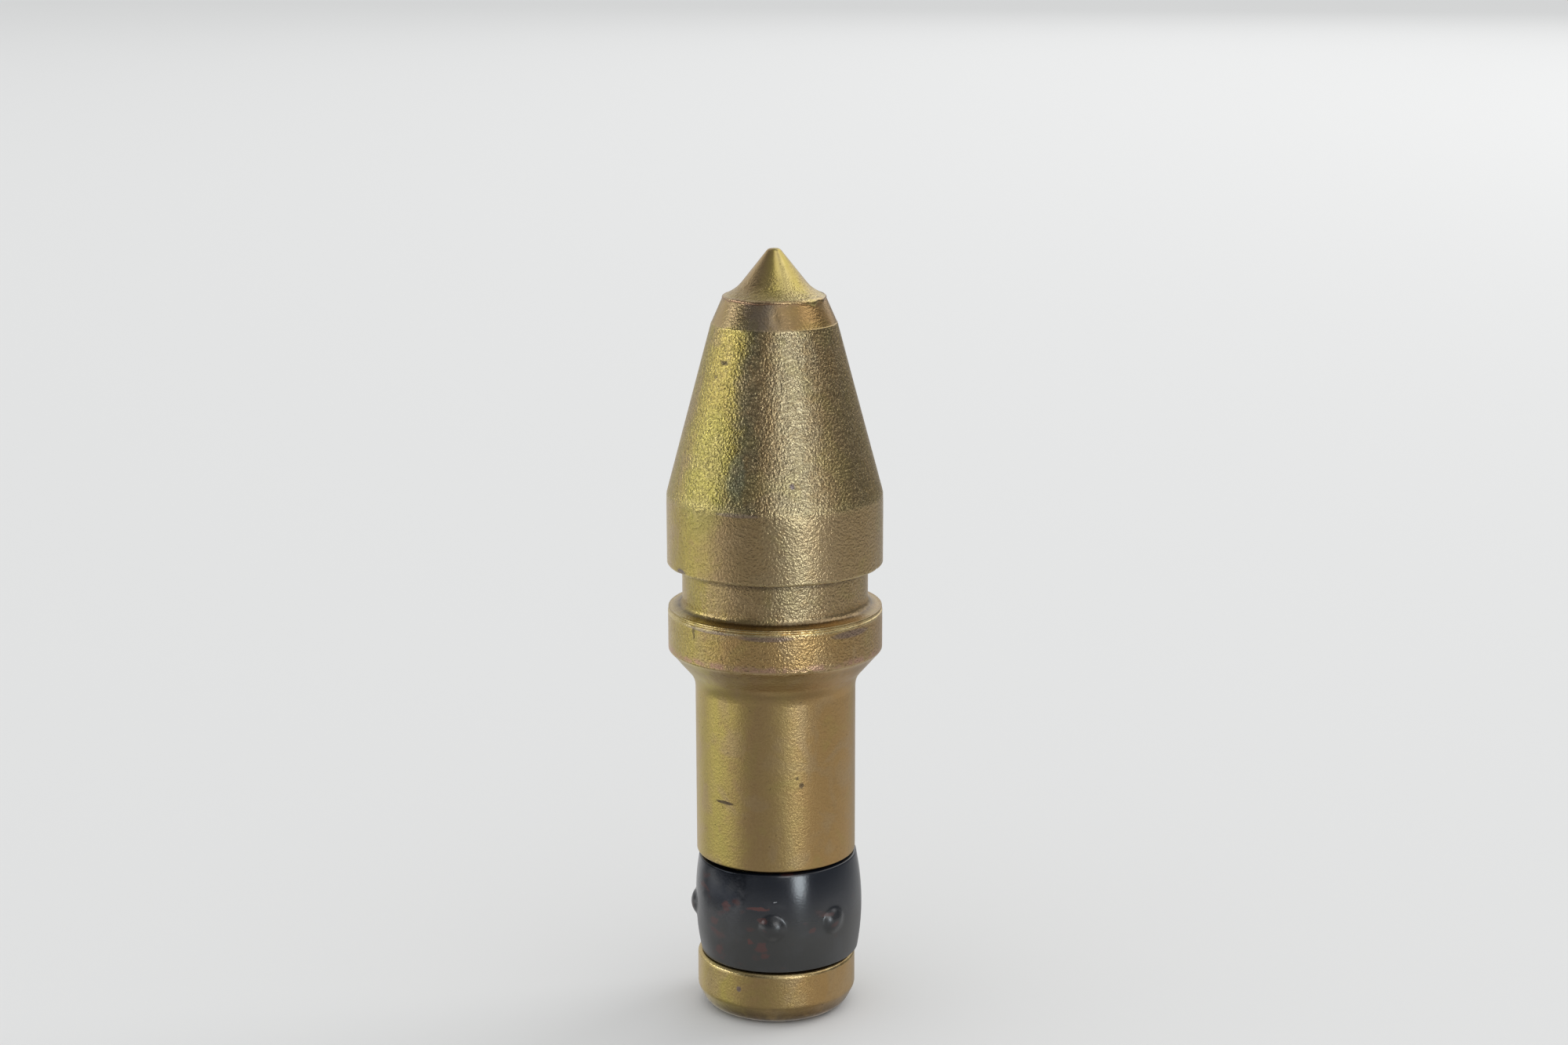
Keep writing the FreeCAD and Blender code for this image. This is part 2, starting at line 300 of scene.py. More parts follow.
# %% Tooth body
body_outline = outline([
    (0, 0),
    (FACE_RADIUS, 0, 2.6 * MM),
    (SHANK_RADIUS, CHAMFER_TOP, 1.2 * MM),
    (SHANK_RADIUS, FLANGE_TOP, 0.7 * MM),
    (GROOVE_RADIUS, FLANGE_TOP, 0.8 * MM),
    (GROOVE_RADIUS, SHANK_START, 0.8 * MM),
    (SHANK_RADIUS, SHANK_START, 0.35 * MM),
    (SHANK_RADIUS, SHANK_END, 4.0 * MM),
    (COLLAR_RADIUS, COLLAR_START, 0.5 * MM),
    (COLLAR_RADIUS, COLLAR_TOP - 0.70 * MM, 0.12 * MM),
    (COLLAR_RADIUS - 0.22 * MM, COLLAR_TOP - 0.56 * MM, 0.08 * MM),
    (COLLAR_RADIUS - 0.22 * MM, COLLAR_TOP - 0.38 * MM, 0.08 * MM),
    (COLLAR_RADIUS - 0.05 * MM, COLLAR_TOP - 0.24 * MM, 0.10 * MM),
    (COLLAR_RADIUS - 0.12 * MM, COLLAR_TOP, 0.14 * MM),
    (COLLAR_RADIUS - 0.60 * MM, COLLAR_TOP - 0.06 * MM, 0.25 * MM),
    (NECK_RADIUS, COLLAR_TOP + 0.3 * MM, 1.0 * MM),
    (NECK_RADIUS, HEAD_START, 0.5 * MM),
    (HEAD_RADIUS - 0.18 * MM, HEAD_START, 0.10 * MM),
    (HEAD_RADIUS, HEAD_START + 0.26 * MM, 0.14 * MM),
    (HEAD_RADIUS, SHOULDER, 2.5 * MM),
    (NOSE_RADIUS, NOSE_START, 0.12 * MM),
    (NOSE_RADIUS - 0.10 * MM, NOSE_START + 0.08 * MM, 0.12 * MM),
    (NOSE_TOP_RADIUS, NOSE_TOP),
    (SOCKET_RADIUS, NOSE_TOP, 0.6 * MM),
    (SOCKET_RADIUS, SOCKET_END + 1.5 * MM),
    (SOCKET_RADIUS - 1.5 * MM, SOCKET_END),
    (0, SOCKET_END),
], 0.58 * MM)
tooth_body = turn("chromated_body", body_outline, 240, forged_skin)
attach(tooth_body, "tool")
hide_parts("tool_body")

# %% [markdown]
# ## The hard tip
# The tip is pressed and sintered as one cap: a blunt point, a cone that flares out into a thin skirt, and a boss
# below that sits in the nose. Only the part above the nose shows. Its skirt has a slightly ragged edge, which
# a few more waves make here, because nothing else tells it from a turned cone.

# %% Tip
CAP_BASE = 113.22 * MM
RIM_TOP = 113.37 * MM
RIM_RADIUS = 7.7 * MM
FLARE_RADIUS = 5.7 * MM
FLARE_HEIGHT = 114.37 * MM
POINT_RADIUS = 1.8 * MM
BOSS_RADIUS = 5.0 * MM
BOSS_END = 107.22 * MM

below_ball = TIP_TOP - POINT_RADIUS - FLARE_HEIGHT
to_ball = math.hypot(FLARE_RADIUS, below_ball)
tip_half_angle = math.acos(POINT_RADIUS / to_ball) - math.atan2(below_ball, FLARE_RADIUS)
point_corner = POINT_RADIUS * math.tan((math.pi / 2 - tip_half_angle) / 2)


def sintered_skin(angle, radius, height):
    """Faint waves, and a skirt whose edge comes and goes by a few hundredths of a millimetre."""
    skirt = span(height, CAP_BASE - 0.1 * MM, RIM_TOP + 0.3 * MM, 0.3 * MM) * (radius > 6.5 * MM)
    rough = waves(HAMMER, angle, radius, height)
    ragged = waves(SWELL, 4 * angle, radius, height)
    return -SIZE_MARGIN + 0.007 * MM * (rough - 1) + 0.045 * MM * skirt * (ragged - 1)


tip_outline = outline([
    (0, BOSS_END),
    (BOSS_RADIUS - 1.5 * MM, BOSS_END),
    (BOSS_RADIUS, BOSS_END + 1.5 * MM),
    (BOSS_RADIUS, CAP_BASE, 0.6 * MM),
    (RIM_RADIUS, CAP_BASE),
    (RIM_RADIUS, RIM_TOP),
    (FLARE_RADIUS, FLARE_HEIGHT, 8.0 * MM),
    (point_corner, TIP_TOP, POINT_RADIUS),
    (0, TIP_TOP),
], 0.2 * MM, 0.04 * MM)
hard_tip = turn("chromated_tip", tip_outline, 240, sintered_skin)
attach(hard_tip, "tool")
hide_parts("carbide_tip")
print("the tip's cone is", round(math.degrees(tip_half_angle), 1), "degrees from its axis")

# %% [markdown]
# ## The braze
# Braze alloy fills the gap all round the boss and creeps out under the skirt as a bead. The bead isn't even: it
# swells into a lump on one side where the alloy ran. The layer is a closed loop carried round the axis, and only
# the stretch of the loop that shows, the bead, changes as it goes.

# %% Braze layer
BEAD_STEPS = 12
LUMPS = ((34, 6, 0.30), (47, 7, 0.70), (64, 6, 0.50), (-22, 12, 0.12), (120, 16, 0.2), (-150, 10, 0.25))


def bead_size(angle):
    """How far the bead spreads, in metres, at each angle: a little everywhere, ripples, and the named lumps."""
    spread = 0.16 + 0.05 * waves(HAMMER, angle, RIM_RADIUS, RIM_TOP)
    for degrees, width, height in LUMPS:
        spread = spread + height * np.exp(-((turned_from(angle, degrees) / math.radians(width)) ** 2))
    return spread * MM


def bead_arc(angle):
    """The bead's outside: from a foot on the nose, down by the spread, to a top on the skirt, in by the spread,
    bowed outwards by part of the spread with a half sine."""
    spread = bead_size(angle)
    nose = np.array([NOSE_RADIUS - NOSE_TOP_RADIUS, NOSE_START - NOSE_TOP])
    nose = nose / np.linalg.norm(nose)
    skirt = np.array([FLARE_RADIUS - RIM_RADIUS, FLARE_HEIGHT - RIM_TOP])
    skirt = skirt / np.linalg.norm(skirt)
    share = np.linspace(0, 1, BEAD_STEPS + 1)[:, None]
    bow = np.sin(math.pi * share)
    foot = [NOSE_TOP_RADIUS + nose[0] * spread, NOSE_TOP + nose[1] * spread]
    top = [RIM_RADIUS + skirt[0] * spread * 0.8, RIM_TOP + skirt[1] * spread * 0.8]
    radius = foot[0] * (1 - share) + top[0] * share + bow * (0.06 * MM + 0.42 * spread)
    height = foot[1] * (1 - share) + top[1] * share + bow * (0.01 * MM + 0.22 * spread)
    return radius, height


def braze_piece(columns):
    """A loop of places, carried round: the bead's arc, then in under the tip, round the boss, and back out along
    the socket. Every place but those of the bead keeps its radius and height."""
    angle = np.linspace(0, 2 * math.pi, columns, endpoint=False)[None, :]
    bead_radius, bead_height = bead_arc(angle)
    inner = outline([
        (RIM_RADIUS, CAP_BASE),
        (BOSS_RADIUS, CAP_BASE, 0.6 * MM),
        (BOSS_RADIUS, BOSS_END + 1.5 * MM),
        (BOSS_RADIUS - 1.5 * MM, BOSS_END),
        (0, BOSS_END),
    ], 1.0 * MM, 0.04 * MM)[:-1]
    outer = outline([
        (0, SOCKET_END),
        (SOCKET_RADIUS - 1.5 * MM, SOCKET_END),
        (SOCKET_RADIUS, SOCKET_END + 1.5 * MM),
        (SOCKET_RADIUS, NOSE_TOP, 0.6 * MM),
        (NOSE_TOP_RADIUS, NOSE_TOP),
    ], 1.0 * MM, 0.04 * MM)[1:]
    wide = np.ones((1, columns))
    radius = np.vstack([outer[:, :1] * wide, bead_radius, inner[:, :1] * wide])
    height = np.vstack([outer[:, 1:] * wide, bead_height, inner[:, 1:] * wide])
    grid = np.stack([radius * np.cos(angle), radius * np.sin(angle), height], -1).reshape(-1, 3)
    rows = len(radius)
    ends = np.array([[0, 0, SOCKET_END], [0, 0, BOSS_END]])
    here = np.arange(columns)
    there = (here + 1) % columns
    last = (rows - 1) * columns
    faces = ring_faces(rows, columns).tolist()
    faces += np.stack([there, here, np.full(columns, rows * columns)], -1).tolist()
    faces += np.stack([last + here, last + there, np.full(columns, rows * columns + 1)], -1).tolist()
    return piece_from("braze_bead", np.vstack([grid, ends]), faces)


braze = braze_piece(288)
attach(braze, "tool")
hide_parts("braze_layer")

# %% [markdown]
# ## The spring sleeve
# The sleeve is rolled from spring steel strip: barrel-shaped, open along one side, and with dimples pressed out
# from inside that snap into the holder. It hangs a little askew in its groove. Its section is carried round from
# one edge of the slot to the other. A dimple is a cap of a ball with a soft foot, outside and inside alike,
# which no boolean could blend so easily.

# %% Sleeve sizes
SLEEVE_THICKNESS = 1.3 * MM
SLEEVE_RIM_RADIUS = 12.4 * MM
SLEEVE_BARREL = 0.75 * MM
SLEEVE_HALF = 8.02 * MM
SLEEVE_CROWN = 0.2 * MM
SLEEVE_SLOT = 4.0 * MM
SLEEVE_LEAN = math.radians(1.0)
SLEEVE_SIDE = 0.4 * MM
SLEEVE_MIDDLE = 17.06 * MM
SLOT_EDGE_ROUND = 0.25 * MM
DIMPLE_RISE = 0.8 * MM
DIMPLE_RADIUS = 2.1 * MM
# Height above the sleeve's middle, and degrees to the right of the camera side
DIMPLE_LEVEL = -0.4 * MM
DIMPLES = (-90, -4.5, 41, 131, -131)


def barrel(height):
    """Radius of the bowed outside: a circle's arc that stands SLEEVE_BARREL proud at the middle."""
    half = SLEEVE_HALF - SLEEVE_CROWN
    bow = (half ** 2 + SLEEVE_BARREL ** 2) / (2 * SLEEVE_BARREL)
    return SLEEVE_RIM_RADIUS + SLEEVE_BARREL - bow + np.sqrt(bow ** 2 - np.minimum(np.abs(height), half) ** 2)


def pressed(angle, height, radius, soft):
    """How far the dimples stand out: the cap of a ball, carried on as a straight slope from 0.8 of the ball's
    radius, where it lies under the skin already. Its foot fades out over a soft width."""
    ball = (DIMPLE_RADIUS ** 2 + DIMPLE_RISE ** 2) / (2 * DIMPLE_RISE)
    out = 0 * angle * height
    for degrees in DIMPLES:
        distance = np.hypot(turned_from(angle, degrees) * radius, height - DIMPLE_LEVEL)
        near = np.minimum(distance, 0.8 * ball)
        cap = np.sqrt(ball ** 2 - near ** 2) - (ball - DIMPLE_RISE) - (distance - near) * 0.8 / 0.6
        out = out + (cap + np.sqrt(cap ** 2 + soft ** 2)) / 2 - soft * 0.5 * np.exp(-((distance / ball) ** 4))
    return out


# %% Sleeve surface
def sleeve_section():
    """The section's loop, from the foot of its outside, up, over the upper rim, down inside and round the lower
    rim: depth below the outside, and height."""
    half = SLEEVE_HALF - SLEEVE_CROWN
    up = np.linspace(-half, half, 68)
    over = np.linspace(0, math.pi, 10)[1:-1]
    rim_depth = SLEEVE_THICKNESS / 2 * (1 - np.cos(over))
    crown = SLEEVE_CROWN * np.sin(over)
    depth = np.concatenate([0 * up, rim_depth, 0 * up + SLEEVE_THICKNESS, rim_depth[::-1]])
    height = np.concatenate([up, half + crown, -up, -half - crown[::-1]])
    return depth[:, None], height[:, None]


def sleeve_piece(columns):
    """A place is (r cos a, r sin a, h), with r = barrel(h) - depth + dimples. Across the sleeve a runs between the
    slot's two flat sides, where r sin(a - slot angle) is half the slot's width. Near them the loop draws in
    by round * (1 - sqrt(1 - (1 - s / round)^2)), s being the way to the side, which rounds the edges."""
    depth, height = sleeve_section()
    rows = len(depth)
    slot = facing(180)
    even = np.linspace(0, 1, columns - 12)[1:-1]
    ease = SLOT_EDGE_ROUND / (2 * math.pi * SLEEVE_RIM_RADIUS)
    near = ease * (1 - np.cos(np.linspace(0, math.pi / 2, 7)))
    share = np.concatenate([near, even[(even > 1.2 * ease) & (even < 1 - 1.2 * ease)], 1 - near[::-1]])[None, :]
    bare = barrel(height) - depth
    start = np.arcsin(SLEEVE_SLOT / 2 / bare)
    angle = slot + start + share * (2 * math.pi - 2 * start)
    to_side = np.minimum(share, 1 - share) * 2 * math.pi * SLEEVE_RIM_RADIUS
    draw = SLOT_EDGE_ROUND * (1 - np.sqrt(1 - np.maximum(1 - to_side / SLOT_EDGE_ROUND, 0) ** 2))
    middle = depth - SLEEVE_THICKNESS / 2
    inset = draw * np.sign(middle) * np.minimum(np.abs(middle) / (SLEEVE_THICKNESS / 2), 1)
    half = SLEEVE_HALF - SLEEVE_CROWN
    level = height - draw * np.sign(height) * (np.abs(height) > half - 1e-9)
    radius = bare + inset + pressed(angle, height, SLEEVE_RIM_RADIUS + SLEEVE_BARREL, 0.12 * MM)
    x = radius * np.cos(angle)
    y = radius * np.sin(angle)
    z = level + 0 * angle
    lean_x = x * math.cos(SLEEVE_LEAN) - z * math.sin(SLEEVE_LEAN) + SLEEVE_SIDE
    lean_z = x * math.sin(SLEEVE_LEAN) + z * math.cos(SLEEVE_LEAN) + SLEEVE_MIDDLE
    points = np.stack([lean_x, y, lean_z], -1)
    wide = points.shape[1]
    row = np.arange(rows)[:, None]
    above = (row + 1) % rows
    here = np.arange(wide - 1)[None, :]
    faces = np.stack([row * wide + here, row * wide + here + 1, above * wide + here + 1, above * wide + here], -1)
    loop = np.arange(rows) * wide
    sides = [loop.tolist(), (loop[::-1] + wide - 1).tolist()]
    return piece_from("spring_sleeve", points.reshape(-1, 3), faces.reshape(-1, 4).tolist() + sides)


sleeve = sleeve_piece(330)
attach(sleeve, "sleeve")
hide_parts("retainer_ring")

# %% [markdown]
# ## Sums with sockets
# A finish is a tree of small nodes. Written out one by one they are hard to read, so this class wraps an output
# socket and lets Python's own signs add the Math nodes: 1 - mask is one node, and a + b * c is two.
# Everything that isn't plain maths comes from one method, which sets a node's options before it fills its sockets.

# %% Wire class
class Wire:
    """An output socket that takes part in sums. Each sum adds its own node to the tree."""

    def __init__(self, tree, socket=None):
        self.tree = tree
        self.socket = socket

    def node(self, kind, settings=(), inputs=(), output=0):
        """Adds a node, gives it its settings, then fills its sockets by name or number, and returns one output."""
        made = self.tree.nodes.new(kind)
        for name, value in dict(settings).items():
            if name == "stops":
                self.set_stops(made.color_ramp, value)
            else:
                setattr(made, name, value)
        for name, value in dict(inputs).items():
            if isinstance(value, Wire):
                self.tree.links.new(value.socket, made.inputs[name])
            else:
                made.inputs[name].default_value = value
        return Wire(self.tree, made.outputs[output] if len(made.outputs) else None)

    @staticmethod
    def set_stops(ramp, stops):
        """Gives a colour ramp its stops, each a place from 0 to 1 and a colour."""
        while len(ramp.elements) < len(stops):
            ramp.elements.new(1)
        for element, (place, colour) in zip(ramp.elements, stops):
            element.position = place
            element.color = colour

    def other(self, output):
        """Another output of the same node."""
        return Wire(self.tree, self.socket.node.outputs[output])

    def maths(self, operation, *values):
        return self.node("ShaderNodeMath", {"operation": operation}, dict(enumerate(values)))

    def __add__(self, value):
        return self.maths("ADD", self, value)

    def __radd__(self, value):
        return self.maths("ADD", value, self)

    def __sub__(self, value):
        return self.maths("SUBTRACT", self, value)

    def __rsub__(self, value):
        return self.maths("SUBTRACT", value, self)

    def __mul__(self, value):
        return self.maths("MULTIPLY", self, value)

    def __rmul__(self, value):
        return self.maths("MULTIPLY", value, self)

    def __truediv__(self, value):
        return self.maths("DIVIDE", self, value)

    def __pow__(self, value):
        return self.maths("POWER", self, value)

    def least(self, value):
        return self.maths("MINIMUM", self, value)

    def most(self, value):
        return self.maths("MAXIMUM", self, value)

    def rise(self, low, high):
        """0 below low, 1 above high, and a soft step between them."""
        inputs = {"Value": self, "From Min": low, "From Max": high}
        return self.node("ShaderNodeMapRange", {"interpolation_type": "SMOOTHSTEP"}, inputs)

    def band(self, low, high, soft):
        """1 between two limits, with soft edges."""
        return self.rise(low - soft, low + soft) * (1 - self.rise(high - soft, high + soft))

    def mix(self, low, high):
        """A colour between two colours, by this share."""
        return self.node("ShaderNodeMix", {"data_type": "RGBA"}, {0: self, 6: low, 7: high}, 2)

    def ramp(self, stops, smooth=False):
        """A colour looked up along a ramp of stops."""
        made = self.node("ShaderNodeValToRGB", {"stops": stops}, {0: self})
        made.socket.node.color_ramp.interpolation = "EASE" if smooth else "LINEAR"
        return made

    def noise(self, size, detail=2.0, rough=0.5, twist=0.0, stretch=None):
        """Noise on this vector, whose blotches are about size metres across."""
        place = self
        if stretch:
            place = self.node("ShaderNodeVectorMath", {"operation": "MULTIPLY"}, {0: self, 1: stretch})
        inputs = {"Vector": place, "Scale": 1 / size, "Detail": detail, "Roughness": rough, "Distortion": twist}
        return self.node("ShaderNodeTexNoise", {}, inputs)


def new_finish(name):
    """An empty material and the wire that its nodes start from."""
    material = bpy.data.materials.new(name)
    material.use_nodes = True
    material.node_tree.nodes.clear()
    return material, Wire(material.node_tree)


def grey(value):
    """A grey as a colour of four numbers."""
    return (value, value, value, 1)


def surface(start, inputs):
    """Ends a finish: the main shader with its inputs, and the output."""
    shader = start.node("ShaderNodeBsdfPrincipled", {}, inputs)
    start.node("ShaderNodeOutputMaterial", {}, {"Surface": shader})
    return len(start.tree.nodes)


# %% [markdown]
# ## Yellow chromate
# The whole tooth is zinc plated and dipped in a yellow chromate, a film so thin that it shows colours of its own:
# yellow, lime, champagne and copper run into each other. A single colour would look painted. Here ramps of tints
# go round the tooth, one each for shank, cone, nose, tip and braze, as the film came out differently on each,
# and a slow noise bends them so that no border is straight. On the cone, the slate stop is painted shade
# that deepens the dark streak that the room mirrors there.

# %% Chromate tints
GOLD = (0.56, 0.40, 0.165, 1)
YELLOW = (0.57, 0.46, 0.135, 1)
COPPER = (0.56, 0.355, 0.145, 1)
TAN = (0.50, 0.335, 0.155, 1)
AMBER = (0.61, 0.40, 0.17, 1)
LIME = (0.49, 0.45, 0.12, 1)
SLATE_SHADE = (0.36, 0.31, 0.18, 1)
ROSE = (0.54, 0.39, 0.215, 1)
CHAMPAGNE = (0.56, 0.46, 0.28, 1)
BRONZE = (0.50, 0.355, 0.18, 1)
PALE = (0.50, 0.39, 0.225, 1)
BRUISE = (0.55, 0.43, 0.31, 1)
UMBER = (0.41, 0.31, 0.16, 1)
BRIGHT = (0.74, 0.60, 0.24, 1)
# Real dirt in the marks and flecks; painted shade in the grain's hollows and the corners, and on the foot both
SOOT_AND_SHADE = (0.10, 0.075, 0.055, 1)
WORN = (0.86, 0.75, 0.49, 1)
# A painted glint on the grain's peaks; on rubbed edges partly wear and partly painted highlight
GLINT_AND_WEAR = (0.82, 0.68, 0.36, 1)
VIOLET = (0.21, 0.165, 0.215, 1)
TEAL = (0.20, 0.27, 0.20, 1)
RUSSET = (0.42, 0.25, 0.16, 1)
BLUSH = (0.62, 0.37, 0.27, 1)

SHANK_TINTS = [(-180, GOLD), (-130, TAN), (-90, GOLD), (-46, YELLOW), (-16, TAN), (8, GOLD), (26, COPPER),
               (60, COPPER), (95, GOLD), (140, YELLOW), (180, GOLD)]
COLLAR_TINTS = [(-180, TAN), (-90, GOLD), (-46, YELLOW), (-24, AMBER), (0, AMBER), (20, COPPER), (60, TAN),
                (95, COPPER), (180, TAN)]
BAND_TINTS = [(-180, GOLD), (-90, GOLD), (-50, YELLOW), (-28, BRONZE), (-10, BRONZE), (4, PALE), (16, PALE),
              (28, ROSE), (50, BRONZE), (95, GOLD), (140, BRONZE), (180, GOLD)]
# The slate stop at -19 degrees is painted shade: it darkens the cone where its mirrored dark streak lies
CONE_TINTS = [(-180, BRONZE), (-140, CHAMPAGNE), (-95, GOLD), (-64, YELLOW), (-31, YELLOW), (-19, SLATE_SHADE),
              (-6, BRONZE), (6, CHAMPAGNE), (20, CHAMPAGNE), (34, BRONZE), (54, UMBER), (74, GOLD), (110, GOLD),
              (180, BRONZE)]
NOSE_TINTS = [(-180, BRONZE), (-72, GOLD), (-54, UMBER), (-38, UMBER), (-26, BRUISE), (-10, BRUISE), (2, ROSE), (26, COPPER),
              (60, COPPER), (110, TAN), (180, BRONZE)]
TIP_TINTS = [(-180, GOLD), (-90, GOLD), (-40, BRONZE), (0, YELLOW), (20, BRIGHT), (28, BRIGHT), (44, YELLOW), (120, GOLD),
             (180, GOLD)]
BRAZE_TINTS = [(-180, TAN), (-60, RUSSET), (-10, RUSSET), (28, COPPER), (42, BRIGHT), (62, COPPER), (90, RUSSET),
               (180, TAN)]


def by_side(share, stops):
    """A colour that goes round the tooth: stops are degrees to the right of the camera side, and colours."""
    return share.ramp([((degrees + 180) / 360, colour) for degrees, colour in stops])


def by_height(z, stops):
    """A value that follows the height on the tooth: stops are heights in millimetres and values."""
    return (z / TIP_TOP).ramp([(height * MM / TIP_TOP, grey(value)) for height, value in stops])


# %% [markdown]
# ## Grain under the film
# Under the film the head is shot blasted, so it sparkles with grains about half a millimetre across. The collar
# and the neck are finer, and the turned shank is almost smooth. A bump node tilts the surface for the light
# without moving it, and the same grain is painted into the colour as well: painted shade in its hollows and
# painted glints on its peaks. Ramps along the height say how coarse and how shiny each length is.

# %% Grain, shine and edges along the tooth
GRAIN = [(0, 0.24), (25, 0.22), (53, 0.22), (58.2, 0.25), (58.8, 0.6), (63.9, 0.6), (64.3, 0.3), (65.4, 0.3), (66.2, 0.72), (71.4, 0.72),
         (72.2, 0.48), (82.0, 0.55), (83.0, 1.0), (108.9, 1.0), (109.3, 0.22), (113.2, 0.26), (113.6, 1.1),
         (114.8, 0.65), (116.8, 0.24), (118.5, 0.06)]
SHINE = [(0, 0.34), (26, 0.32), (54, 0.34), (58.8, 0.29), (72, 0.29), (83.5, 0.28), (109, 0.28), (110, 0.28),
         (114, 0.26), (118, 0.24)]
# Where edges are rubbed bright, partly wear and partly painted highlight, and where corners get painted shade, with
# dirt as well on the foot's chamfer
WEAR_AND_HIGHLIGHT = [(0, 0), (8.0, 0), (8.5, 0.7), (8.8, 0), (57.9, 0), (58.4, 0.45), (58.7, 0), (64.3, 0), (64.5, 1),
          (64.62, 0), (64.86, 0), (64.98, 1), (65.2, 1), (65.24, 0), (71.85, 0), (72.05, 0.8), (72.4, 0),
          (82.0, 0), (83.0, 0.25), (84.2, 0), (108.8, 0), (109.2, 0.15), (109.5, 0), (113.2, 0), (113.38, 0.7),
          (113.9, 0.25), (114.8, 0)]
ROSY = [(58.3, 0), (58.7, 0.8), (59.2, 0.7), (59.8, 0), (112.5, 0), (112.9, 0.35), (113.2, 0.35), (113.3, 0)]
SHADE_AND_DIRT = [(0, 1), (0.5, 0.88), (1.4, 0.72), (2.7, 0.34), (3.5, 0), (54.6, 0), (56.0, 0.12), (57.4, 0.25), (58.1, 0.1), (58.4, 0), (64.62, 0),
         (64.68, 1), (64.84, 1), (64.9, 0), (65.22, 0), (65.26, 0.9), (65.6, 0.8), (65.9, 0), (70.9, 0),
         (71.15, 0.85), (71.85, 0.95), (71.9, 0)]

# Degrees to the right of the camera side and height; half width and half height in mm; radius; share and colour
MARKS = [
    ((-39, 36.0), (1.9, 0.30), 12.5, 0.90, SOOT_AND_SHADE), ((18.5, 39.4), (0.45, 0.5), 12.5, 0.75, SOOT_AND_SHADE),
    ((15, 40.6), (0.25, 0.3), 12.5, 0.6, SOOT_AND_SHADE), ((-42, 88), (4.6, 10.0), 15.0, 0.55, LIME),
    ((-22, 88.0), (1.6, 3.6), 15.2, 0.35, TEAL), ((-5, 63.9), (4.5, 0.5), 16.6, 0.55, VIOLET),
    ((44, 63.5), (4.0, 0.6), 16.6, 0.5, VIOLET), ((-20, 59.0), (9.0, 0.5), 16.6, 0.5, ROSE),
    ((35, 58.9), (9.0, 0.5), 16.6, 0.5, ROSE),
    ((10, 86.9), (0.4, 0.45), 15.5, 0.8, VIOLET), ((-20, 82.6), (3.6, 0.35), 16.7, 0.5, VIOLET),
    ((-59, 72.2), (1.3, 0.6), 16.7, 0.8, VIOLET), ((-48, 63.7), (0.35, 1.4), 16.65, 0.7, SOOT_AND_SHADE),
    ((-36, 64.3), (5.5, 0.35), 16.65, 0.7, VIOLET), ((-13, 64.3), (1.6, 0.3), 16.65, 0.45, SOOT_AND_SHADE),
    ((-28, 5.9), (0.45, 0.5), 12.5, 0.7, VIOLET), ((52, 104.0), (1.2, 2.6), 11.0, 0.5, TAN),
    ((-43, 104.2), (0.8, 0.35), 11.0, 0.8, SOOT_AND_SHADE), ((-50, 102.0), (0.3, 0.3), 11.6, 0.7, SOOT_AND_SHADE),
    ((17.5, 97.8), (0.5, 0.25), 12.6, 0.8, WORN), ((120, 88.0), (1.8, 1.2), 15.0, 0.5, TEAL),
]


def mark(side, z, at, half, radius):
    """1 in a small ellipse on the skin and 0 away from it."""
    across = (side - at[0]) * (radius * math.pi / 180 / half[0])
    up = (z / MM - at[1]) / half[1]
    return 1 - (across * across + up * up).rise(0.35, 1.35)


